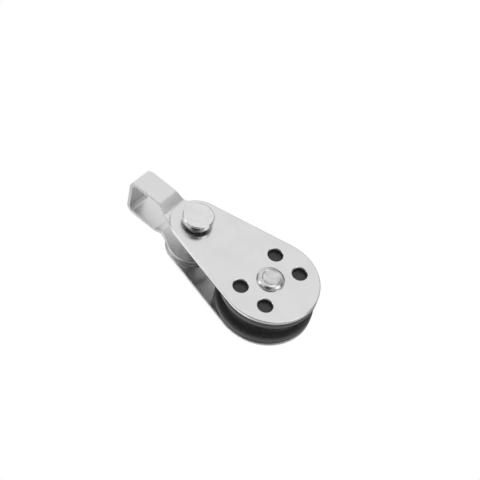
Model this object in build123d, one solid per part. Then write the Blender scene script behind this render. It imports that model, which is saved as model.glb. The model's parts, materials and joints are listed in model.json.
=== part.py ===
from build123d import *
from math import acos, asin, atan2, cos, hypot, pi, radians, sin
import os

os.makedirs("parts", exist_ok=True)

# A small pulley block that hangs from its own strap.
# Millimetres. Z is up, the pin and the axle lie along Y and the front cheek faces -Y.
# The origin is the point the block hangs by: the middle of the strap's bend, on its inner face.

# Heights of the two cross axes
eye_to_pin = 18.2
pin_to_axle = 23.0

# Cheeks: two stamped plates with a wide round end at the sheave and a narrow one at the pin
cheek_sheet = 1.0
cheek_gap = 8.0
cheek_past_rim = 0.0
cheek_top_radius = 6.8
cheek_top_above_pin = 6.6
cheek_edge = 0.22
hole_radius = 1.83
hole_circle = 7.5
hole_angle = 60.0

# Strap: one strip bent to a square loop, set inward at both legs so that they fit between the cheeks
strap_sheet = 1.0
strap_width = 6.0
loop_width = 11.0
loop_bend = 1.2
step_top = 8.7
step_height = 2.2
step_upper_bend = 1.6
step_lower_bend = 0.7
lobe_radius = 6.4
neck_bend = 12.0
strap_edge = 0.15
leg_clearance = 0.06

# Pin: a flat round head, a plain shank and a tail drilled across for the ring
pin_radius = 2.4
pin_clearance = 0.08
head_radius = 3.86
head_height = 1.5
head_bevel = 0.42
head_lift = 1.05
ring_stand_off = 1.9
tail_land = 1.35
tail_bevel = 0.55
cross_hole_radius = 1.05

# Split ring: two turns of wire drawn with eight flats, joined by a short jog
wire_half = 0.4
wire_flats = 8
ring_radius = 5.1
turn_gap = 0.02
jog_angle = 44.0
jog_place = -60.0

# Sheave: turned black nylon with a round groove, drawn with flats, between two plain rims
sheave_radius = 12.0
sheave_side_gap = 0.25
flange_land = 1.35
groove_depth = 3.5
groove_radius = 2.2
groove_flats = 8
hub_radius = 4.7
hub_rise = 0.12

# Axle: a rivet headed over at both ends, with a sleeve that keeps the cheeks apart
sleeve_radius = 3.0
sleeve_clearance = 0.06
rivet_radius = 2.0
rivet_fill = 0.04
rivet_head_radius = 3.4
rivet_top_radius = 2.15
rivet_head_height = 1.15
rivet_foot = 0.12
rivet_dish = 0.1
rivet_dish_radius = 1.2

# Sizes and places that follow from those above
cheek_radius = sheave_radius + cheek_past_rim
pin_z = -eye_to_pin
axle_z = pin_z - pin_to_axle
inner_y = cheek_gap / 2
outer_y = inner_y + cheek_sheet
leg_y = inner_y - leg_clearance - strap_sheet / 2
ring_y = outer_y + ring_stand_off
pin_bore = pin_radius + pin_clearance
rivet_bore = rivet_radius + rivet_fill


def at_front(drawing):
    # Lays a flat drawing upright, its X along X and its Y along Z, looking from the front.
    return Plane.XZ * drawing


def cylinder_along_y(radius, y_from, y_to, z):
    disc = at_front(Pos(0, z) * Circle(radius))
    return Pos(0, y_from, 0) * extrude(disc, y_from - y_to)


def turned(outline, z):
    # Turns an outline of radius and Y round the axis along Y at the given height.
    return Pos(0, 0, z) * revolve(make_face(outline), Axis.Y)


def teardrop(top_z, top_radius, low_z, low_radius):
    # Two round ends joined by the two straight lines that touch both.
    lean = asin((low_radius - top_radius) / (top_z - low_z))
    top_x = top_radius * cos(lean)
    low_x = low_radius * cos(lean)
    top_touch = top_z + top_radius * sin(lean)
    low_touch = low_z + low_radius * sin(lean)
    outline = [
        Line((low_x, low_touch), (top_x, top_touch)),
        ThreePointArc((top_x, top_touch), (0, top_z + top_radius), (-top_x, top_touch)),
        Line((-top_x, top_touch), (-low_x, low_touch)),
        ThreePointArc((-low_x, low_touch), (0, low_z - low_radius), (low_x, low_touch)),
    ]
    return make_face(Wire(outline))


def make_cheek(facing):
    # facing is -1 for the front cheek and 1 for the rear one: the same stamping turned round.
    top_z = pin_z + cheek_top_above_pin - cheek_top_radius
    plate = extrude(at_front(teardrop(top_z, cheek_top_radius, axle_z, cheek_radius)), -cheek_sheet)
    plate = chamfer(plate.faces().sort_by(Axis.Y)[0].edges(), cheek_edge)
    for angle in (hole_angle, 180 - hole_angle, 180 + hole_angle, -hole_angle):
        x = hole_circle * sin(radians(angle))
        z = axle_z + hole_circle * cos(radians(angle))
        plate -= Pos(x, 0, 0) * cylinder_along_y(hole_radius, 0, cheek_sheet, z)
    plate -= cylinder_along_y(pin_bore, 0, cheek_sheet, pin_z)
    plate -= cylinder_along_y(rivet_bore, 0, cheek_sheet, axle_z)
    front = Pos(0, -outer_y, 0) * plate
    return front if facing < 0 else mirror(front, about=Plane.XZ)


def strap_half_section():
    # The strip seen edge on, from the middle of its bend down one leg.
    middle = strap_sheet / 2
    wall_y = loop_width / 2 - middle
    route = [
        (0, middle),
        (wall_y, middle),
        (wall_y, -step_top),
        (leg_y, -step_top - step_height),
        (leg_y, pin_z - lobe_radius),
    ]
    bends = [bend + middle for bend in (loop_bend, step_upper_bend, step_lower_bend)]
    return trace(FilletPolyline(*route, radius=bends), strap_sheet)


def strap_blank():
    # The strip seen flat from the front, a narrow band flaring into a round lobe.
    height = strap_sheet - pin_z
    band = Pos(0, pin_z + height / 2) * Rectangle(strap_width, height)
    blank = band + Pos(0, pin_z) * Circle(lobe_radius)
    necks = blank.vertices().sort_by(Axis.Y)[-4:-2]
    return fillet(necks, neck_bend)


def make_strap():
    # The bent strip is cut to the blank's outline, its sheared edges are broken and it is bored.
    half = extrude(Plane.YZ * strap_half_section(), lobe_radius, both=True)
    bent = half + mirror(half, about=Plane.XZ)
    strap = bent & extrude(at_front(strap_blank()), loop_width, both=True)
    sheared = strap.edges().filter_by(Axis.X, reverse=True)
    strap = chamfer(sheared, strap_edge)
    return strap - cylinder_along_y(pin_bore, -loop_width, loop_width, pin_z)


def make_pin():
    under_head = -outer_y - head_lift
    top = under_head - head_height
    end = ring_y + cross_hole_radius + tail_land
    outline = Polyline(
        (0, top),
        (head_radius - head_bevel, top),
        (head_radius, top + head_bevel),
        (head_radius, under_head),
        (pin_radius, under_head),
        (pin_radius, end - tail_bevel),
        (pin_radius - tail_bevel, end),
        (0, end),
        close=True,
    )
    cross_hole = Plane.YZ * Pos(ring_y, pin_z) * Circle(cross_hole_radius)
    return turned(outline, pin_z) - extrude(cross_hole, pin_radius, both=True)


def ring_section(angle, y):
    # The wire's cross section at an angle round the ring, counted from the top.
    place = (ring_radius * sin(radians(angle)), y, ring_radius * cos(radians(angle)))
    forward = (cos(radians(angle)), 0, -sin(radians(angle)))
    wire = RegularPolygon(wire_half, wire_flats, major_radius=False, rotation=180 / wire_flats)
    return Plane(origin=place, x_dir=(0, 1, 0), z_dir=forward) * wire


def make_ring():
    # Two turns side by side, the end of the first led over to the start of the second.
    side = wire_half + turn_gap / 2
    near_turn, far_turn = [
        revolve(ring_section(0, y), Axis.Y, 360 - jog_angle)
        for y in (-side, side)
    ]
    jog = loft([
        ring_section(-jog_angle * (1 - share), -side * cos(pi * share))
        for share in (0, 0.25, 0.5, 0.75, 1)
    ])
    coil = Rot(0, jog_place, 0) * (near_turn + jog + far_turn)
    # The ring hangs from the tops of the cross hole's two mouths.
    mouth_drop = ring_radius - (ring_radius ** 2 - pin_radius ** 2) ** 0.5
    hang = ring_radius - mouth_drop / 2
    return Pos(0, ring_y, pin_z - hang) * coil


def groove_points(groove_half):
    # The floor's flats follow an arc between the places where the straight flanks touch it.
    middle_r = sheave_radius - groove_depth + groove_radius
    mouth_r = sheave_radius - middle_r
    lean = acos(groove_radius / hypot(mouth_r, groove_half)) - atan2(mouth_r, groove_half)
    last = pi / 2 - lean
    angles = [last * (2 * step / groove_flats - 1) for step in range(groove_flats + 1)]
    return [(middle_r - groove_radius * cos(a), groove_radius * sin(a)) for a in angles]


def make_sheave():
    half_width = inner_y - sheave_side_gap
    groove_half = half_width - flange_land
    bore = sleeve_radius + sleeve_clearance
    rear = [
        (sheave_radius, groove_half),
        (sheave_radius, half_width),
        (hub_radius + hub_rise, half_width),
        (hub_radius, half_width + hub_rise),
        (bore, half_width + hub_rise),
    ]
    front = [(r, -y) for r, y in reversed(rear)]
    return turned(Polyline(*front, *groove_points(groove_half), *rear, close=True), axle_z)


def make_sleeve():
    tube = cylinder_along_y(sleeve_radius, -inner_y, inner_y, axle_z)
    return tube - cylinder_along_y(rivet_bore, -inner_y, inner_y, axle_z)


def make_rivet():
    # Each head has a short foot, a tapered flank and a top left slightly hollow by the punch.
    top = outer_y + rivet_head_height
    head = [
        (rivet_radius, outer_y),
        (rivet_head_radius, outer_y),
        (rivet_head_radius, outer_y + rivet_foot),
        (rivet_top_radius, top),
        (rivet_dish_radius, top - rivet_dish),
        (0, top - rivet_dish),
    ]
    front = [(r, -y) for r, y in reversed(head)]
    return turned(Polyline(*front, *head, close=True), axle_z)


parts = {
    "strap": make_strap(),
    "front_cheek": make_cheek(-1),
    "rear_cheek": make_cheek(1),
    "sheave": make_sheave(),
    "axle_sleeve": make_sleeve(),
    "axle_rivet": make_rivet(),
    "clevis_pin": make_pin(),
    "split_ring": make_ring(),
}
for name, shape in parts.items():
    export_step(shape, f"parts/{name}.step")
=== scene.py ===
# %% [markdown]
# # A small pulley block in stainless steel and black nylon
#
# A block leads a rope round a wheel: two stamped cheeks hold a nylon sheave on a riveted axle,
# and a bent strap hangs the whole on a loose pin. The CAD file gives the large sizes. This
# script gives the looks: each node gets a smooth piece of its own, modelled the way such a
# piece is made, and a finish with the marks that its making leaves.
#
# Everything is in metres, with +Z up, and the block hangs from the middle of the strap's bend.

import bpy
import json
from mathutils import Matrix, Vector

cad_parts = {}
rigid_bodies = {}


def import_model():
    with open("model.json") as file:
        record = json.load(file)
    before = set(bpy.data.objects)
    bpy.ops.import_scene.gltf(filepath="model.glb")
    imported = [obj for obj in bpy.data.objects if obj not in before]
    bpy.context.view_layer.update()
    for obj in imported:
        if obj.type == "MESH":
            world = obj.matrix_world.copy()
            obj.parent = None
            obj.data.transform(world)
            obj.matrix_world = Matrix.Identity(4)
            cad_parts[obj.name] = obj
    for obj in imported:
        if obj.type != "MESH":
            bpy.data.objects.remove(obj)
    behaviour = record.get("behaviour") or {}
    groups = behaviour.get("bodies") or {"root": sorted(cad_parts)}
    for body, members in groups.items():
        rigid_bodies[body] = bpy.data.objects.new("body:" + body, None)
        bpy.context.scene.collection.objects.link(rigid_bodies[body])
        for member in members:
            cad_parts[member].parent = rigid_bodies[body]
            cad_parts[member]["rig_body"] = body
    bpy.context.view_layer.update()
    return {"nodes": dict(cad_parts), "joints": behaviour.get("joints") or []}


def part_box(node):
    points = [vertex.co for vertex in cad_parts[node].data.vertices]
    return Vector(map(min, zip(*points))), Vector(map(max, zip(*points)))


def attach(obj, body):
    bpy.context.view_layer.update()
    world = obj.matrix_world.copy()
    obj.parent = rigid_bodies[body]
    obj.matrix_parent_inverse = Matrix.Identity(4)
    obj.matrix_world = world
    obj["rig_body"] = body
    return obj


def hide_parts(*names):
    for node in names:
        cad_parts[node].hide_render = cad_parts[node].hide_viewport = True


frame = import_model()
print("CAD nodes:", ", ".join(sorted(frame["nodes"])))

# %% Other modules
import json
from math import asin, atan2, cos, degrees, hypot, pi, radians, sin, sqrt, tan

import bmesh
import bpy
from mathutils import Matrix, Quaternion, Vector

# %% [markdown]
# ## Sizes from the frame
#
# A dressed piece must fit the CAD node that it stands for. So most large sizes are not typed
# again: they are measured on the node's own box, and the two cross axes come from the joints.
# What a box can't tell, such as a hole, a bend or an edge's rounding, is typed where it is
# first needed.

# %% Axes and boxes
MM = 0.001
joint_at = {joint["name"]: Vector(joint["pos_m"]) for joint in frame["joints"]}
pin_z = joint_at["block_swing"].z
axle_z = joint_at["sheave_spin"].z
ring_y = joint_at["ring_flip"].y


def box_of(node):
    low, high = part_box(node)
    return low, high, high - low


print("pin at", round(pin_z / MM, 2), "mm, axle at", round(axle_z / MM, 2), "mm")

# %% [markdown]
# ## From a bmesh to a finished piece
#
# Every piece ends in the same way: doubles merged, faces turned outward, smooth shading with
# the corners kept crisp, then its materials and its body, and the CAD node it stands for hidden.
# A helper does this once, so that the cells below hold only the shape.

# %% Helper that finishes a piece
MERGE = 0.0002 * MM
CRISP = radians(38)


def finish_piece(bm, name, node, slot, *materials):
    bmesh.ops.remove_doubles(bm, verts=bm.verts, dist=MERGE)
    bmesh.ops.recalc_face_normals(bm, faces=bm.faces)
    for face in bm.faces:
        face.smooth = True
    for edge in bm.edges:
        edge.smooth = edge.calc_face_angle(pi) < CRISP
    mesh = bpy.data.meshes.new(name)
    bm.to_mesh(mesh)
    bm.free()
    piece = bpy.data.objects.new(name, mesh)
    bpy.context.scene.collection.objects.link(piece)
    for material in materials:
        piece.data.materials.append(material)
    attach(piece, frame["nodes"][node]["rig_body"])
    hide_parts(node)
    print(name, "has", len(mesh.polygons), "faces")
    return piece


# %% [markdown]
# ## Finishes
#
# Stainless steel has hardly any colour of its own: it shows the room. What tells one piece
# from another is how it was worked. Stamped plates are usually tumbled, which leaves them
# satin with a soft mottle and a few fine scratches. A pin, a rivet and a sleeve are turned, so
# they are bright and ringed. A split ring is coiled from drawn wire. The sheave is black nylon
# with faint turning lines.
#
# All patterns read Object coordinates, which are metres on every piece, so a scale of 1000
# means details of about a millimetre.

# %% Helpers for node trees
def start_material(name, **values):
    material = bpy.data.materials.new(name)
    material.use_nodes = True
    shader = material.node_tree.nodes["Principled BSDF"]
    for socket, value in values.items():
        shader.inputs[socket.replace("_", " ")].default_value = value
    return material, material.node_tree, shader


def add(tree, kind, **settings):
    node = tree.nodes.new(kind)
    for name, value in settings.items():
        setattr(node, name, value)
    return node


def object_coordinates(tree, stretch=(1, 1, 1), centre=(0, 0, 0)):
    coordinates = add(tree, "ShaderNodeTexCoord")
    mapping = add(tree, "ShaderNodeMapping")
    mapping.inputs["Location"].default_value = [-c * s for c, s in zip(centre, stretch)]
    mapping.inputs["Scale"].default_value = stretch
    tree.links.new(coordinates.outputs["Object"], mapping.inputs["Vector"])
    return mapping.outputs["Vector"]


def noise(tree, vector, scale, detail=3.0, roughness=0.5):
    node = add(tree, "ShaderNodeTexNoise")
    node.inputs["Scale"].default_value = scale
    node.inputs["Detail"].default_value = detail
    node.inputs["Roughness"].default_value = roughness
    tree.links.new(vector, node.inputs["Vector"])
    return node.outputs["Fac"]


def spread(tree, value, low, high, out_low, out_high):
    node = add(tree, "ShaderNodeMapRange")
    numbers = {"From Min": low, "From Max": high, "To Min": out_low, "To Max": out_high}
    for socket, number in numbers.items():
        node.inputs[socket].default_value = number
    tree.links.new(value, node.inputs["Value"])
    return node.outputs["Result"]


def sum_of(tree, *values):
    total = values[0]
    for value in values[1:]:
        node = add(tree, "ShaderNodeMath", operation="ADD")
        tree.links.new(total, node.inputs[0])
        tree.links.new(value, node.inputs[1])
        total = node.outputs["Value"]
    return total


def blend_greys(tree, value, dark, bright):
    # A Mix node has several sockets called A, B and Result, so those for colours go by number.
    factor, first, second, result = 0, 6, 7, 2
    node = add(tree, "ShaderNodeMix", data_type="RGBA")
    node.inputs[first].default_value = (dark, dark, dark, 1)
    node.inputs[second].default_value = (bright, bright, bright, 1)
    tree.links.new(value, node.inputs[factor])
    return node.outputs[result]


def round_axis(tree, place):
    # How far a point lies from the cross axis, and how far along it.
    parts = add(tree, "ShaderNodeSeparateXYZ")
    tree.links.new(place, parts.inputs["Vector"])
    flat = add(tree, "ShaderNodeCombineXYZ")
    for letter in ("X", "Z"):
        tree.links.new(parts.outputs[letter], flat.inputs[letter])
    radius = add(tree, "ShaderNodeVectorMath", operation="LENGTH")
    tree.links.new(flat.outputs["Vector"], radius.inputs[0])
    return radius.outputs["Value"], parts.outputs["Y"]


def turning_lines(tree, distance, scale, detail):
    node = add(tree, "ShaderNodeTexNoise", noise_dimensions="1D")
    node.inputs["Scale"].default_value = scale
    node.inputs["Detail"].default_value = detail
    tree.links.new(distance, node.inputs["W"])
    return node.outputs["Fac"]


def bump(tree, shader, height, depth):
    node = add(tree, "ShaderNodeBump")
    node.inputs["Distance"].default_value = depth
    tree.links.new(height, node.inputs["Height"])
    tree.links.new(node.outputs["Normal"], shader.inputs["Normal"])


# %% [markdown]
# Tumbling with small stones leaves plate steel satin, but not evenly: there is a broad mottle,
# a fine grain, some pits and a few scratches that lie the way the pieces slid. Each is a noise
# of its own scale, and the scratches are noises stretched along one direction. The strap has
# the same steel with more roughness, which came closer to the photograph.

# %% Tumbled plate steel
# Most of a noise's values lie between these two.
USUAL = (0.3, 0.7)


def make_tumbled_steel(name, satin):
    # satin is the roughness where the tumbling took least; the soft mottle adds to it.
    material, tree, shader = start_material(name, Metallic=1.0)
    plain = object_coordinates(tree)
    cloud = noise(tree, plain, 170)
    grain = noise(tree, plain, 5200, detail=2)
    pitting = noise(tree, plain, 1500, detail=5, roughness=0.6)
    scratch_ways = (
        object_coordinates(tree, stretch=(14, 1, 1.1)),
        object_coordinates(tree, stretch=(1.3, 1, 17)),
    )
    scratches = [
        spread(tree, noise(tree, way, 420, detail=2), 0.70, 0.78, 0, 1) for way in scratch_ways
    ]
    mottle = spread(tree, cloud, *USUAL, 0, 0.8)
    tone = sum_of(tree, mottle, spread(tree, pitting, 0.35, 0.7, 0, 0.3))
    tree.links.new(blend_greys(tree, tone, 0.67, 0.72), shader.inputs["Base Color"])
    wear = sum_of(
        tree,
        spread(tree, cloud, *USUAL, satin, satin + 0.07),
        spread(tree, grain, *USUAL, -0.03, 0.04),
        *[spread(tree, s, 0, 1, 0, 0.12) for s in scratches],
    )
    tree.links.new(wear, shader.inputs["Roughness"])
    relief = sum_of(tree, grain, *[spread(tree, s, 0, 1, 0, -0.8) for s in scratches])
    bump(tree, shader, relief, 0.003 * MM)
    return material


cheek_steel = make_tumbled_steel("tumbled_cheek_steel", satin=0.17)
strap_steel = make_tumbled_steel("tumbled_strap_steel", satin=0.27)

# %% [markdown]
# A press shears a plate's edge rather than cutting it. The punch rolls the corner over, then
# burnishes the first half of the thickness and tears the rest. So on a cheek the edge is
# bright next to the outer side and dull and dark next to the inner one. On the cheeks both
# greys also paint light: the near-black torn zone is partly painted shade for the gap beside
# the sheave, and the burnished grey, set above the plate's own, is partly a painted highlight
# line. The strap's edges are kept simpler here: one rough mottle, without the two zones.

# %% Sheared edges
RAGGED = 0.08 * MM
ZONE_BLEND = 0.06 * MM


def make_sheared_steel(name, dark, bright, tear_depth, torn_half=None):
    # torn_half is the distance from the middle plane at which the torn zone ends.
    material, tree, shader = start_material(name, Metallic=1.0)
    plain = object_coordinates(tree)
    tears = noise(tree, plain, 2400, detail=5, roughness=0.65)
    tone = spread(tree, tears, *USUAL, 0, 1)
    if torn_half:
        parts = add(tree, "ShaderNodeSeparateXYZ")
        tree.links.new(plain, parts.inputs["Vector"])
        from_middle = add(tree, "ShaderNodeMath", operation="ABSOLUTE")
        tree.links.new(parts.outputs["Y"], from_middle.inputs[0])
        border = spread(tree, tears, *USUAL, -RAGGED, RAGGED)
        place = sum_of(tree, from_middle.outputs["Value"], border)
        tone = spread(tree, place, torn_half - ZONE_BLEND, torn_half + ZONE_BLEND, 0, 1)
    tree.links.new(blend_greys(tree, tone, dark, bright), shader.inputs["Base Color"])
    tree.links.new(spread(tree, tone, 0, 1, 0.5, 0.28), shader.inputs["Roughness"])
    bump(tree, shader, tears, tear_depth)
    return material


# The cheeks' near-black torn grey is partly painted shade for the gap beside the sheave, and their
# bright grey is partly a painted highlight line.
cheek_edge_steel_with_painted_light = make_sheared_steel(
    "sheared_cheek_steel_with_painted_light", dark=0.10, bright=0.86, tear_depth=0.004 * MM, torn_half=4.32 * MM
)
strap_edge_steel = make_sheared_steel(
    "sheared_strap_steel", dark=0.42, bright=0.66, tear_depth=0.006 * MM
)

# %% [markdown]
# Turned steel keeps fine rings round its axis. The rivet's heads were also struck while they
# were set, so their bright skin is a little uneven: that is the broad noise in their relief.

# %% Turned steel, ringed round its own axis
def make_turned_steel(name, centre_z, tones, shine, dents):
    # tones are the darkest and brightest grey, and shine is the least roughness.
    material, tree, shader = start_material(name, Metallic=1.0)
    place = object_coordinates(tree, centre=(0, 0, centre_z))
    radius, along = round_axis(tree, place)
    # The sum of both grows over flat and round faces alike, so each gets its rings.
    rings = turning_lines(tree, sum_of(tree, radius, along), 7000, detail=3)
    smear = noise(tree, place, 700, detail=4)
    tone = spread(tree, smear, *USUAL, 0, 1)
    tree.links.new(blend_greys(tree, tone, *tones), shader.inputs["Base Color"])
    rough = sum_of(
        tree,
        spread(tree, smear, 0.3, 0.75, shine, shine + 0.08),
        spread(tree, rings, *USUAL, -0.02, 0.03),
    )
    tree.links.new(rough, shader.inputs["Roughness"])
    hammered = noise(tree, place, 620, detail=1)
    relief = sum_of(tree, spread(tree, rings, 0, 1, 0, 0.1), spread(tree, hammered, 0, 1, 0, dents))
    bump(tree, shader, relief, 0.016 * MM)
    return material


pin_tones = (0.68, 0.74)
axle_tones = (0.52, 0.70)
pin_steel = make_turned_steel("turned_steel_pin", pin_z, pin_tones, shine=0.10, dents=0.15)
axle_steel = make_turned_steel("turned_steel_axle", axle_z, axle_tones, shine=0.22, dents=1.4)

# %% [markdown]
# Wire is pulled through a die, which leaves it smooth with faint marks. One fine noise is
# enough for those.

# %% Drawn wire
wire_steel, tree, shader = start_material("drawn_wire_steel", Metallic=1.0)
draw_marks = noise(tree, object_coordinates(tree), 2600, detail=3)
tone = spread(tree, draw_marks, *USUAL, 0, 1)
tree.links.new(blend_greys(tree, tone, 0.60, 0.70), shader.inputs["Base Color"])
tree.links.new(spread(tree, draw_marks, *USUAL, 0.16, 0.28), shader.inputs["Roughness"])
bump(tree, shader, draw_marks, 0.002 * MM)

# %% [markdown]
# Black nylon is never quite black: dust clings to it, and the lathe leaves fine lines across
# the groove. So its grey follows a dust noise, and a noise along the axle draws the lines. The
# grey also rises with the distance from the axle towards the rims, as a painted highlight.

# %% Black nylon
RIM_HIGHLIGHT_FROM = 11.2 * MM
RIM_HIGHLIGHT_FULL = 11.95 * MM

nylon, tree, shader = start_material("black_nylon", Specular_IOR_Level=0.4)
place = object_coordinates(tree, centre=(0, 0, axle_z))
dust = noise(tree, place, 900, detail=5)
skin = noise(tree, place, 4200, detail=3)
radius, along = round_axis(tree, place)
lathe = turning_lines(tree, along, 2600, detail=2)
# The rims' lighter grey is a painted highlight on the rim lands, not wear.
painted_rim_highlight = spread(tree, radius, RIM_HIGHLIGHT_FROM, RIM_HIGHLIGHT_FULL, 0, 0.7)
dust_and_rim_highlight = sum_of(tree, spread(tree, dust, 0.35, 0.75, 0, 0.3), painted_rim_highlight)
tree.links.new(blend_greys(tree, dust_and_rim_highlight, 0.030, 0.095), shader.inputs["Base Color"])
rough = sum_of(tree, spread(tree, dust, *USUAL, 0.32, 0.44), spread(tree, lathe, *USUAL, -0.04, 0.05))
tree.links.new(rough, shader.inputs["Roughness"])
bump(tree, shader, sum_of(tree, lathe, spread(tree, skin, 0, 1, 0, 0.5)), 0.006 * MM)
print("materials:", ", ".join(sorted(material.name for material in bpy.data.materials)))

# %% [markdown]
# ## Drawing with spun vertices
#
# The plates start as flat outlines made of straight lines and arcs. Blender has no arc tool
# for meshes, but spinning a single vertex draws one: bmesh.ops.spin leaves a chain of edges
# behind it. So an outline is drawn as a pen would: a line to here, an arc round there.

# %% Pen strokes on a flat drawing
UP = (0, 0, 1)
ARC_STEP = radians(4)


def line_to(bm, vertex, x, y):
    end = bm.verts.new((x, y, 0))
    bm.edges.new((vertex, end))
    return end


def arc_round(bm, vertex, centre, turn):
    steps = max(2, round(abs(turn) / ARC_STEP))
    drawn = bmesh.ops.spin(
        bm, geom=[vertex], cent=(*centre, 0), axis=UP, angle=turn, steps=steps, use_merge=False
    )
    return next(item for item in drawn["geom_last"] if isinstance(item, bmesh.types.BMVert))


def circle_at(bm, x, y, radius, segments=64):
    bmesh.ops.create_circle(
        bm, cap_ends=False, radius=radius, segments=segments, matrix=Matrix.Translation((x, y, 0))
    )


# %% [markdown]
# ## From outline to plate
#
# A press shears the sheet and tumbling rounds its edges. The outline is filled, holes and
# all, and pulled up to a plate. Then each flat side is inset a few times, every ring a little
# further in and a little higher, along a quarter circle: that is the rounded edge. A last
# ring lies flat, and keeps the smooth shading of the edge from leaking over the whole side.
# A bevel would do this too, but it stumbles over the fan of triangles beside a hole.

# %% Fill, thicken and round
ROUND_STEPS = 4
FLAT_RING = 0.04 * MM
SHEARED = 1


def make_plate(bm, thickness, upper_edge, lower_edge):
    bmesh.ops.remove_doubles(bm, verts=bm.verts, dist=MERGE)
    bmesh.ops.triangle_fill(bm, use_beauty=True, use_dissolve=False, edges=bm.edges, normal=UP)
    bmesh.ops.translate(bm, verts=bm.verts, vec=(0, 0, lower_edge - thickness / 2))
    raised = bmesh.ops.extrude_face_region(bm, geom=bm.faces[:], use_keep_orig=True)
    lifted = [item for item in raised["geom"] if isinstance(item, bmesh.types.BMVert)]
    bmesh.ops.translate(bm, verts=lifted, vec=(0, 0, thickness - upper_edge - lower_edge))
    bmesh.ops.recalc_face_normals(bm, faces=bm.faces)
    for face in bm.faces:
        face.material_index = SHEARED if abs(face.normal.z) < 0.5 else 0
    for side, edge in ((1, upper_edge), (-1, lower_edge)):
        flat = [face for face in bm.faces if face.normal.z * side > 0.99]
        for step in range(ROUND_STEPS):
            low, high = (pi / 2 * (step + more) / ROUND_STEPS for more in (0, 1))
            bmesh.ops.inset_region(
                bm,
                faces=flat,
                thickness=edge * (cos(low) - cos(high)),
                depth=edge * (sin(high) - sin(low)),
                use_boundary=True,
                use_even_offset=True,
            )
        bmesh.ops.inset_region(
            bm, faces=flat, thickness=FLAT_RING, depth=0, use_boundary=True, use_even_offset=True
        )


STAND_UP = Matrix.Rotation(pi / 2, 4, "X")

# %% [markdown]
# ## Cheeks
#
# A cheek is a teardrop: a wide round end at the sheave, a narrow one at the pin, and the two
# straight lines that touch both. The pen starts where the right-hand line leaves the wide end,
# goes round the bottom, up the left side, over the top and back. Four holes ring the axle.

# %% Draw and press a cheek
hole_radius = 1.83 * MM
hole_circle = 7.5 * MM
hole_angle = radians(60)
pin_bore = 2.48 * MM
rivet_bore = 2.04 * MM
cheek_top_radius = 6.8 * MM
rolled_edge = 0.28 * MM
burr_edge = 0.08 * MM


def draw_cheek(bm, node):
    high, size = box_of(node)[1:]
    wide = size.x / 2
    top = high.z - cheek_top_radius
    lean = asin((wide - cheek_top_radius) / (top - axle_z))
    start = bm.verts.new((wide * cos(lean), axle_z + wide * sin(lean), 0))
    pen = arc_round(bm, start, (0, axle_z), -(pi + 2 * lean))
    pen = line_to(bm, pen, -cheek_top_radius * cos(lean), top + cheek_top_radius * sin(lean))
    pen = arc_round(bm, pen, (0, top), -(pi - 2 * lean))
    bm.edges.new((pen, start))
    for angle in (hole_angle, pi - hole_angle, pi + hole_angle, -hole_angle):
        circle_at(bm, hole_circle * sin(angle), axle_z + hole_circle * cos(angle), hole_radius)
    circle_at(bm, 0, pin_z, pin_bore)
    circle_at(bm, 0, axle_z, rivet_bore)


for node in ("front_cheek", "rear_cheek"):
    low, high, size = box_of(node)
    bm = bmesh.new()
    draw_cheek(bm, node)
    front = node == "front_cheek"
    upper_edge, lower_edge = (rolled_edge, burr_edge) if front else (burr_edge, rolled_edge)
    make_plate(bm, size.y, upper_edge, lower_edge)
    bmesh.ops.transform(bm, matrix=STAND_UP, verts=bm.verts)
    bmesh.ops.translate(bm, verts=bm.verts, vec=(0, (low.y + high.y) / 2, 0))
    finish_piece(bm, "pressed_" + node, node, "plate_steel", cheek_steel, cheek_edge_steel_with_painted_light)

# %% [markdown]
# ## Strap
#
# The real strap is a flat blank with a round lobe at each end, pierced for the pin and then
# bent over a former. It is made the same way here. The blank is a plate like the cheeks.
# Then bisect_plane cuts it across wherever it will bend, and every vertex is carried to its
# place along the bent route: how far along the strip it lies picks the place and direction,
# and its height over the strip's middle is laid off square to that.

# %% Route of the strip's middle
strap_width = 6.0 * MM
strap_sheet = 1.0 * MM
lobe_radius = 6.4 * MM
neck_bend = 12.0 * MM
loop_bend = 1.7 * MM
upper_bend = 2.1 * MM
lower_bend = 1.2 * MM
step_top = 8.7 * MM
step_height = 2.2 * MM
leg_y = 3.44 * MM
strap_edge = 0.17 * MM

strap_high = box_of("strap")[1]
wall_y = strap_high.y - strap_sheet / 2
crown_z = strap_high.z - strap_sheet / 2
slope = atan2(wall_y - leg_y, step_height)
upper_cut = upper_bend * tan(slope / 2)
lower_cut = lower_bend * tan(slope / 2)
slant = hypot(wall_y - leg_y, step_height)

# Each piece of the route is a length and the turn that it makes, to the right if negative.
route = [
    (wall_y - loop_bend, 0),
    (loop_bend * pi / 2, -pi / 2),
    (crown_z + step_top - loop_bend - upper_cut, 0),
    (upper_bend * slope, -slope),
    (slant - upper_cut - lower_cut, 0),
    (lower_bend * slope, slope),
    (-pin_z - step_top - step_height - lower_cut, 0),
]
to_pin = sum(length for length, turn in route)
print("strip from its middle to the pin:", round(to_pin / MM, 2), "mm")


def along_route(distance):
    y, z, heading = 0.0, crown_z, 0.0
    for index, (length, turn) in enumerate(route):
        last = index == len(route) - 1
        part = distance if last else min(distance, length)
        share = part / length
        if turn:
            radius = length / turn
            y += radius * (sin(heading + turn * share) - sin(heading))
            z += radius * (cos(heading) - cos(heading + turn * share))
            heading += turn * share
        else:
            y += part * cos(heading)
            z += part * sin(heading)
        distance -= part
        if distance <= 0:
            break
    return y, z, heading


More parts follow.
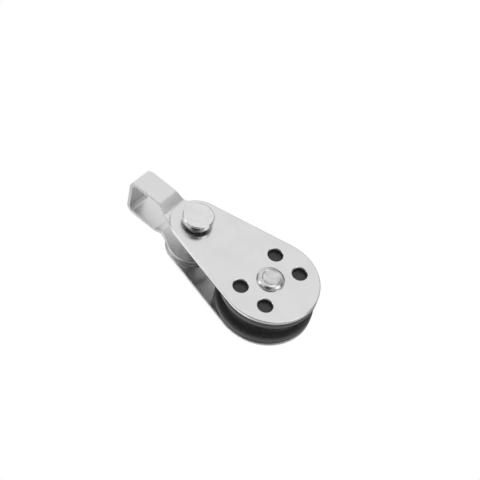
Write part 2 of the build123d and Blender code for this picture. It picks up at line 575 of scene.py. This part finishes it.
# %% Draw, press and bend the strap
bm = bmesh.new()
neck_x = strap_width / 2 + neck_bend
neck_y = to_pin - sqrt((lobe_radius + neck_bend) ** 2 - neck_x ** 2)
neck_turn = asin((to_pin - neck_y) / (lobe_radius + neck_bend))
pen = bm.verts.new((strap_width / 2, 0, 0))
pen = line_to(bm, pen, strap_width / 2, neck_y)
pen = arc_round(bm, pen, (neck_x, neck_y), -neck_turn)
pen = arc_round(bm, pen, (0, to_pin), pi / 2 + neck_turn)
for axis in ("X", "Y"):
    bmesh.ops.mirror(bm, geom=bm.verts[:] + bm.edges[:], matrix=Matrix(), merge_dist=MERGE, axis=axis)
for side in (1, -1):
    circle_at(bm, 0, side * to_pin, pin_bore)
make_plate(bm, strap_sheet, strap_edge, strap_edge)

BEND_STEP = radians(5)
start = 0.0
for length, turn in route:
    if turn:
        cuts = max(1, round(abs(turn) / BEND_STEP))
        for cut in range(cuts + 1):
            place = start + length * cut / cuts
            for side in (1, -1):
                bmesh.ops.bisect_plane(
                    bm,
                    geom=bm.verts[:] + bm.edges[:] + bm.faces[:],
                    dist=MERGE,
                    plane_co=(0, side * place, 0),
                    plane_no=(0, 1, 0),
                )
    start += length

for vertex in bm.verts:
    x, distance, height = vertex.co
    y, z, heading = along_route(abs(distance))
    y -= height * sin(heading)
    z += height * cos(heading)
    vertex.co = (x, y if distance >= 0 else -y, z)
finish_piece(bm, "bent_strap", "strap", "plate_steel", strap_steel, strap_edge_steel)

# %% [markdown]
# ## Turned pieces
#
# The pin, rivet, sleeve and sheave are all round about a cross axis, so each is one profile
# turned once round. The profile is a flat face whose corners are rounded with a vertex bevel,
# each by its own amount, before the spin. That way a corner's radius is drawn and not guessed.

# %% Helper that turns a profile
TURN_STEPS = 128


def turn(corners, centre_z, rounding_steps=5):
    # corners are (radius, y, rounding) in order along the profile; radius 0 lies on the axis.
    bm = bmesh.new()
    points = [bm.verts.new((radius, y, 0)) for radius, y, rounding in corners]
    bm.faces.new(points)
    for point, (radius, y, rounding) in zip(points, corners):
        if rounding:
            bmesh.ops.bevel(
                bm,
                geom=[point],
                offset=rounding,
                offset_type="OFFSET",
                segments=rounding_steps,
                profile=0.5,
                affect="VERTICES",
                material=-1,
            )
    bmesh.ops.delete(bm, geom=bm.faces[:], context="FACES_ONLY")
    on_axis = [edge for edge in bm.edges if all(abs(v.co.x) < MERGE for v in edge.verts)]
    bmesh.ops.delete(bm, geom=on_axis, context="EDGES")
    bmesh.ops.spin(
        bm,
        geom=bm.verts[:] + bm.edges[:],
        cent=(0, 0, 0),
        axis=(0, 1, 0),
        angle=2 * pi,
        steps=TURN_STEPS,
        use_merge=True,
    )
    bmesh.ops.translate(bm, verts=bm.verts, vec=(0, 0, centre_z))
    return bm


# %% [markdown]
# ## Sheave
#
# The sheave is a nylon wheel with a round groove. Its floor is two corners rounded so far
# that their arcs meet in the middle. The hub stands a hair proud of the sides, so that only
# the hub rubs on the cheeks.

# %% Turn the sheave
size = box_of("sheave")[2]
rim = size.x / 2
hub_half = size.y / 2
hub_rise = 0.12 * MM
half_width = hub_half - hub_rise
flange_land = 1.35 * MM
groove_half = half_width - flange_land
floor_radius = 8.5 * MM
groove_round = 2.2 * MM
hub_radius = 4.7 * MM
sheave_bore = 3.06 * MM

middle = floor_radius + groove_round
reach = hypot(rim - middle, groove_half)
flank_lean = atan2(groove_half, rim - middle) - asin(groove_round / reach)
floor_half = groove_half - (rim - floor_radius) * tan(flank_lean)
# A hair less than half the floor, so that the two arcs don't cross.
floor_rounding = floor_half * 0.995
half_profile = [
    (sheave_bore, hub_half, 0.08 * MM),
    (hub_radius, hub_half, 0.05 * MM),
    (hub_radius + hub_rise, half_width, 0),
    (rim, half_width, 0.3 * MM),
    (rim, groove_half, 0.35 * MM),
    (floor_radius, floor_half, floor_rounding),
]
other_half = [(radius, -y, rounding) for radius, y, rounding in reversed(half_profile)]
finish_piece(
    turn(half_profile + other_half, axle_z, rounding_steps=12),
    "nylon_sheave", "sheave", "nylon", nylon,
)
print("groove flank leans", round(degrees(flank_lean), 1), "degrees")

# %% [markdown]
# ## Axle rivet
#
# A soft steel rivet goes through both cheeks and the sleeve and is headed over at each end.
# The head has a domed flank and a slightly hollow top. The photograph shows a dark line just
# under that top. A small step draws one here, though a thinner one.

# %% Turn the rivet
high, size = box_of("axle_rivet")[1:]
cheek_face = box_of("rear_cheek")[1].y
head_radius = size.x / 2
shank_radius = 2.0 * MM
rivet_top_radius = 2.15 * MM
rivet_foot = 0.3 * MM
dish_radius = 1.96 * MM
dish_depth = 0.13 * MM

# Radius, drop below the top and rounding of each corner of the head, from its middle outward.
head_corners = (
    (0, dish_depth, 0),
    (dish_radius, dish_depth, 0.07 * MM),
    (rivet_top_radius, 0, 0.05 * MM),
    (2.2 * MM, 0.15 * MM, 0.04 * MM),
    (2.7 * MM, 0.28 * MM, 0.2 * MM),
    (3.22 * MM, 0.62 * MM, 0.26 * MM),
)
half_profile = [(radius, high.y - drop, rounding) for radius, drop, rounding in head_corners]
half_profile += [
    (head_radius, cheek_face + rivet_foot, 0.1 * MM),
    (head_radius, cheek_face, 0),
    (shank_radius, cheek_face, 0),
]
other_half = [(radius, -y, rounding) for radius, y, rounding in reversed(half_profile)]
finish_piece(
    turn(half_profile + other_half, axle_z),
    "headed_rivet", "axle_rivet", "turned_steel", axle_steel,
)

# %% [markdown]
# ## Axle sleeve
#
# The sleeve is hidden. It keeps the cheeks apart, so that the riveting can't clamp the sheave,
# and the sheave turns on it. A plain tube does this, with its four edges broken.

# %% Turn the sleeve
low, high, size = box_of("axle_sleeve")
sleeve_break = 0.15 * MM
tube = [
    (size.x / 2, high.y, sleeve_break),
    (size.x / 2, low.y, sleeve_break),
    (rivet_bore, low.y, sleeve_break),
    (rivet_bore, high.y, sleeve_break),
]
finish_piece(turn(tube, axle_z), "spacer_sleeve", "axle_sleeve", "turned_steel", axle_steel)

# %% [markdown]
# ## Pin
#
# The pin is a plain turned bolt: a flat head with rounded rims, a straight shank and a
# bevelled tail. Only the head is seen in the photograph, and the rest is as such pins are.

# %% Turn the pin
low, high, size = box_of("clevis_pin")
head_radius = size.x / 2
pin_radius = 2.4 * MM
head_height = 1.5 * MM
tail_bevel = 0.55 * MM
under_head = low.y + head_height
profile = [
    (0, low.y, 0),
    (head_radius, low.y, 0.36 * MM),
    (head_radius, under_head, 0.2 * MM),
    (pin_radius, under_head, 0.1 * MM),
    (pin_radius, high.y - tail_bevel, 0.1 * MM),
    (pin_radius - tail_bevel, high.y, 0.1 * MM),
    (0, high.y, 0),
]
pin = finish_piece(turn(profile, pin_z), "clevis_bolt", "clevis_pin", "turned_steel", pin_steel)

# %% [markdown]
# The hole across the tail is the one feature that turning can't give. Such a hole is drilled
# when the pin is otherwise done. A Boolean modifier drills it last here too, with a cylinder
# as the drill, and its result then becomes the pin's own mesh.

# %% Drill the pin
cross_hole = 1.05 * MM
bm = bmesh.new()
drill_place = Matrix.Translation((0, ring_y, pin_z)) @ Matrix.Rotation(pi / 2, 4, "Y")
bmesh.ops.create_cone(
    bm,
    cap_ends=True,
    segments=48,
    radius1=cross_hole,
    radius2=cross_hole,
    depth=pin_radius * 4,
    matrix=drill_place,
)
drill_mesh = bpy.data.meshes.new("drill")
bm.to_mesh(drill_mesh)
bm.free()
drill = bpy.data.objects.new("drill", drill_mesh)
bpy.context.scene.collection.objects.link(drill)
drilling = pin.modifiers.new("cross hole", "BOOLEAN")
drilling.operation = "DIFFERENCE"
drilling.solver = "EXACT"
drilling.object = drill
bpy.context.view_layer.update()
drilled = bpy.data.meshes.new_from_object(pin.evaluated_get(bpy.context.evaluated_depsgraph_get()))
pin.modifiers.clear()
pin.data = drilled
bpy.data.objects.remove(drill)
print("drilled pin has", len(drilled.polygons), "faces")

# %% [markdown]
# ## Split ring
#
# A split ring is nearly two turns of wire side by side, with a short jog that leads the first
# turn over to the second. Three spins of one small circle draw it: round, round and across,
# and round again. The middle one has a dvec, which moves it along the axis as it turns.

# %% Coil the ring
high, size = box_of("split_ring")[1:]
wire_radius = 0.4 * MM
turn_gap = 0.02 * MM
jog_angle = radians(44)
jog_place = radians(-60)
ring_radius = size.x / 2 - wire_radius
side = wire_radius + turn_gap / 2
ring_centre = Vector((0, ring_y, high.z - wire_radius - ring_radius))
bm = bmesh.new()
start_at = Matrix.Translation((0, -side, ring_radius)) @ Matrix.Rotation(pi / 2, 4, "Y")
wire = bmesh.ops.create_circle(bm, cap_ends=True, radius=wire_radius, segments=20, matrix=start_at)
geometry = list(wire["verts"]) + list({edge for v in wire["verts"] for edge in v.link_edges})
full_turn = (2 * pi - jog_angle, 84, 0)
jog = (jog_angle, 14, 2 * side)
for angle, steps, move in (full_turn, jog, full_turn):
    swept = bmesh.ops.spin(
        bm,
        geom=geometry,
        cent=(0, 0, 0),
        axis=(0, 1, 0),
        dvec=(0, move / steps, 0),
        angle=angle,
        steps=steps,
        use_merge=False,
    )
    geometry = swept["geom_last"]
bmesh.ops.contextual_create(bm, geom=[item for item in geometry if isinstance(item, bmesh.types.BMEdge)])
place = Matrix.Translation(ring_centre) @ Matrix.Rotation(jog_place, 4, "Y")
bmesh.ops.transform(bm, matrix=place, verts=bm.verts)
finish_piece(bm, "coiled_ring", "split_ring", "spring_steel", wire_steel)

# %% [markdown]
# ## Room and light
#
# The block hangs over a plain pale floor in a white room. Polished steel has no look without
# a room: it shows the white walls as light grey and the floor below as a darker band, and
# that contrast draws its bends. So the world is white to the camera and in reflections, and a
# little lower where it only fills the shadows.

# %% White room
scene = bpy.context.scene
scene.view_settings.view_transform = "Standard"

shadow_fill = 0.8
world = bpy.data.worlds.new("white_room")
scene.world = world
world.use_nodes = True
tree = world.node_tree
tree.nodes.clear()
rays = add(tree, "ShaderNodeLightPath")
seen = add(tree, "ShaderNodeMath", operation="ADD", use_clamp=True)
seen_more = add(tree, "ShaderNodeMath", operation="ADD", use_clamp=True)
tree.links.new(rays.outputs["Is Camera Ray"], seen.inputs[0])
tree.links.new(rays.outputs["Is Glossy Ray"], seen.inputs[1])
tree.links.new(seen.outputs["Value"], seen_more.inputs[0])
tree.links.new(rays.outputs["Is Transmission Ray"], seen_more.inputs[1])
white = add(tree, "ShaderNodeBackground")
white.inputs["Color"].default_value = (1, 1, 1, 1)
fill = add(tree, "ShaderNodeBackground")
fill.inputs["Color"].default_value = (1, 1, 1, 1)
fill.inputs["Strength"].default_value = shadow_fill
choice = add(tree, "ShaderNodeMixShader")
out = add(tree, "ShaderNodeOutputWorld")
tree.links.new(seen_more.outputs["Value"], choice.inputs["Fac"])
tree.links.new(fill.outputs["Background"], choice.inputs[1])
tree.links.new(white.outputs["Background"], choice.inputs[2])
tree.links.new(choice.outputs["Shader"], out.inputs["Surface"])
print("world:", world.name, "with", len(tree.nodes), "nodes")

# %% [markdown]
# The floor is one matt square below the block. It is a pale grey: with a lighter one, the
# steel's reflections came out lighter than in the photograph.

# %% Floor
floor_drop = 0.24
floor_size = 4.0
floor_grey = 0.62


def matt_grey(name, grey, roughness):
    return start_material(name, Roughness=roughness, Base_Color=(grey, grey, grey, 1))[0]


bm = bmesh.new()
bmesh.ops.create_grid(bm, x_segments=1, y_segments=1, size=floor_size / 2)
bmesh.ops.translate(bm, verts=bm.verts, vec=(0, 0, -floor_drop))
floor_mesh = bpy.data.meshes.new("floor")
bm.to_mesh(floor_mesh)
bm.free()
floor = bpy.data.objects.new("floor", floor_mesh)
scene.collection.objects.link(floor)
floor.data.materials.append(matt_grey("pale_floor", floor_grey, roughness=0.9))
print("floor lies", floor_drop, "m below the hanging point")

# %% [markdown]
# Four soft lamps do the rest. Three in front show in the rounded steel as highlights. A larger
# one, to the right and behind, is hidden from reflections, so it lights the nylon and the
# floor. Each is placed by how far it stands off the block's middle, and looks back at it.

# %% Lamps
block_middle = Vector((0, 0, -0.026))


def soft_lamp(name, offset, size, watts):
    # offset leads from the block's middle to the lamp.
    lamp = bpy.data.lights.new(name, "AREA")
    lamp.shape = "SQUARE"
    lamp.size = size
    lamp.energy = watts
    holder = bpy.data.objects.new(name, lamp)
    holder.location = block_middle + offset
    holder.rotation_mode = "QUATERNION"
    holder.rotation_quaternion = (-offset).to_track_quat("-Z", "Y")
    holder.visible_camera = False
    scene.collection.objects.link(holder)
    print(name, "gives", watts, "W")
    return holder


soft_lamp("high_softbox", Vector((-0.52, -0.58, 0.63)) * 0.6, size=0.16, watts=0.18)
soft_lamp("low_softbox", Vector((0.24, -0.70, -0.67)) * 0.25, size=0.10, watts=0.055)
soft_lamp("front_softbox", Vector((0.18, -0.96, -0.22)) * 0.3, size=0.08, watts=0.03)
rear_lamp = soft_lamp("back_softbox", Vector((0.5, 0.3, 0.276)), size=0.35, watts=0.5)
rear_lamp.visible_glossy = False

# %% [markdown]
# ## Camera
#
# The photograph looks at the block's front from low on its left. The block lies aslant in it
# and hangs straight here, so the camera is rolled. It is placed by the way it looks: azimuth
# and elevation round the block, a distance, a point to aim at and a roll.

# %% Place the camera
azimuth = radians(-34.706)
elevation = radians(-16.526)
roll = radians(-51.789)
distance = 0.28942
aim = Vector((0.003491, -0.005, -0.028787))
back = Vector((sin(azimuth) * cos(elevation), -cos(azimuth) * cos(elevation), sin(elevation)))
camera_data = bpy.data.cameras.new("camera")
camera_data.lens = 91.268
camera_data.sensor_width = 36
camera_data.clip_start = 0.01
camera_data.clip_end = 10
camera = bpy.data.objects.new("camera", camera_data)
camera.location = aim + back * distance
camera.rotation_mode = "QUATERNION"
camera.rotation_quaternion = (-back).to_track_quat("-Z", "Y") @ Quaternion((0, 0, 1), roll)
scene.collection.objects.link(camera)
scene.camera = camera
print("camera at", [round(c / MM, 1) for c in camera.location], "mm")

# %% [markdown]
# Polished steel that faces the lens shows the photographer, and a rim that turns away shows
# the walls beside the soft light. The rounded edges in the photograph have such dark lines,
# and without them a bright pin looks like white plastic. So a dark disc stands just behind the
# camera, and grey cards stand to the right, above and to the left. A small dark one low on the
# right is what the strap's step shows as its grey band. They all show in reflections only.

# %% Cards that only steel sees
shade_gap = 0.012


def reflected_card(name, place, facing, radius, tone):
    bm = bmesh.new()
    bmesh.ops.create_circle(bm, cap_ends=True, radius=radius, segments=48)
    turned_to = facing.to_track_quat("Z", "Y").to_matrix().to_4x4()
    bmesh.ops.transform(bm, matrix=Matrix.Translation(place) @ turned_to, verts=bm.verts)
    mesh = bpy.data.meshes.new(name)
    bm.to_mesh(mesh)
    bm.free()
    card = bpy.data.objects.new(name, mesh)
    scene.collection.objects.link(card)
    card.data.materials.append(matt_grey(name + "_cloth", tone, roughness=1.0))
    for kind in ("visible_camera", "visible_diffuse", "visible_shadow", "visible_transmission"):
        setattr(card, kind, False)
    print(name, "has a radius of", radius, "m")


shade_place = aim + back * (distance + shade_gap)
reflected_card("photographer_shade", shade_place, back, radius=0.12, tone=0.03)

# Name, direction from the block, distance, radius and tone of the other cards. The low card
# stands nearer, because further out it would be under the floor.
for name, way, reach, radius, tone in (
    ("side_card", (0.95, 0.20, 0.16), 0.5, 0.3, 0.25),
    ("top_card", (-0.1, -0.1, 0.98), 0.5, 0.2, 0.35),
    ("left_card", (-0.88, -0.38, 0.28), 0.5, 0.2, 0.3),
    ("low_card", (0.57, -0.51, -0.64), 0.22, 0.048, 0.1),
):
    facing = Vector(way).normalized()
    reflected_card(name, block_middle + facing * reach, facing, radius, tone)
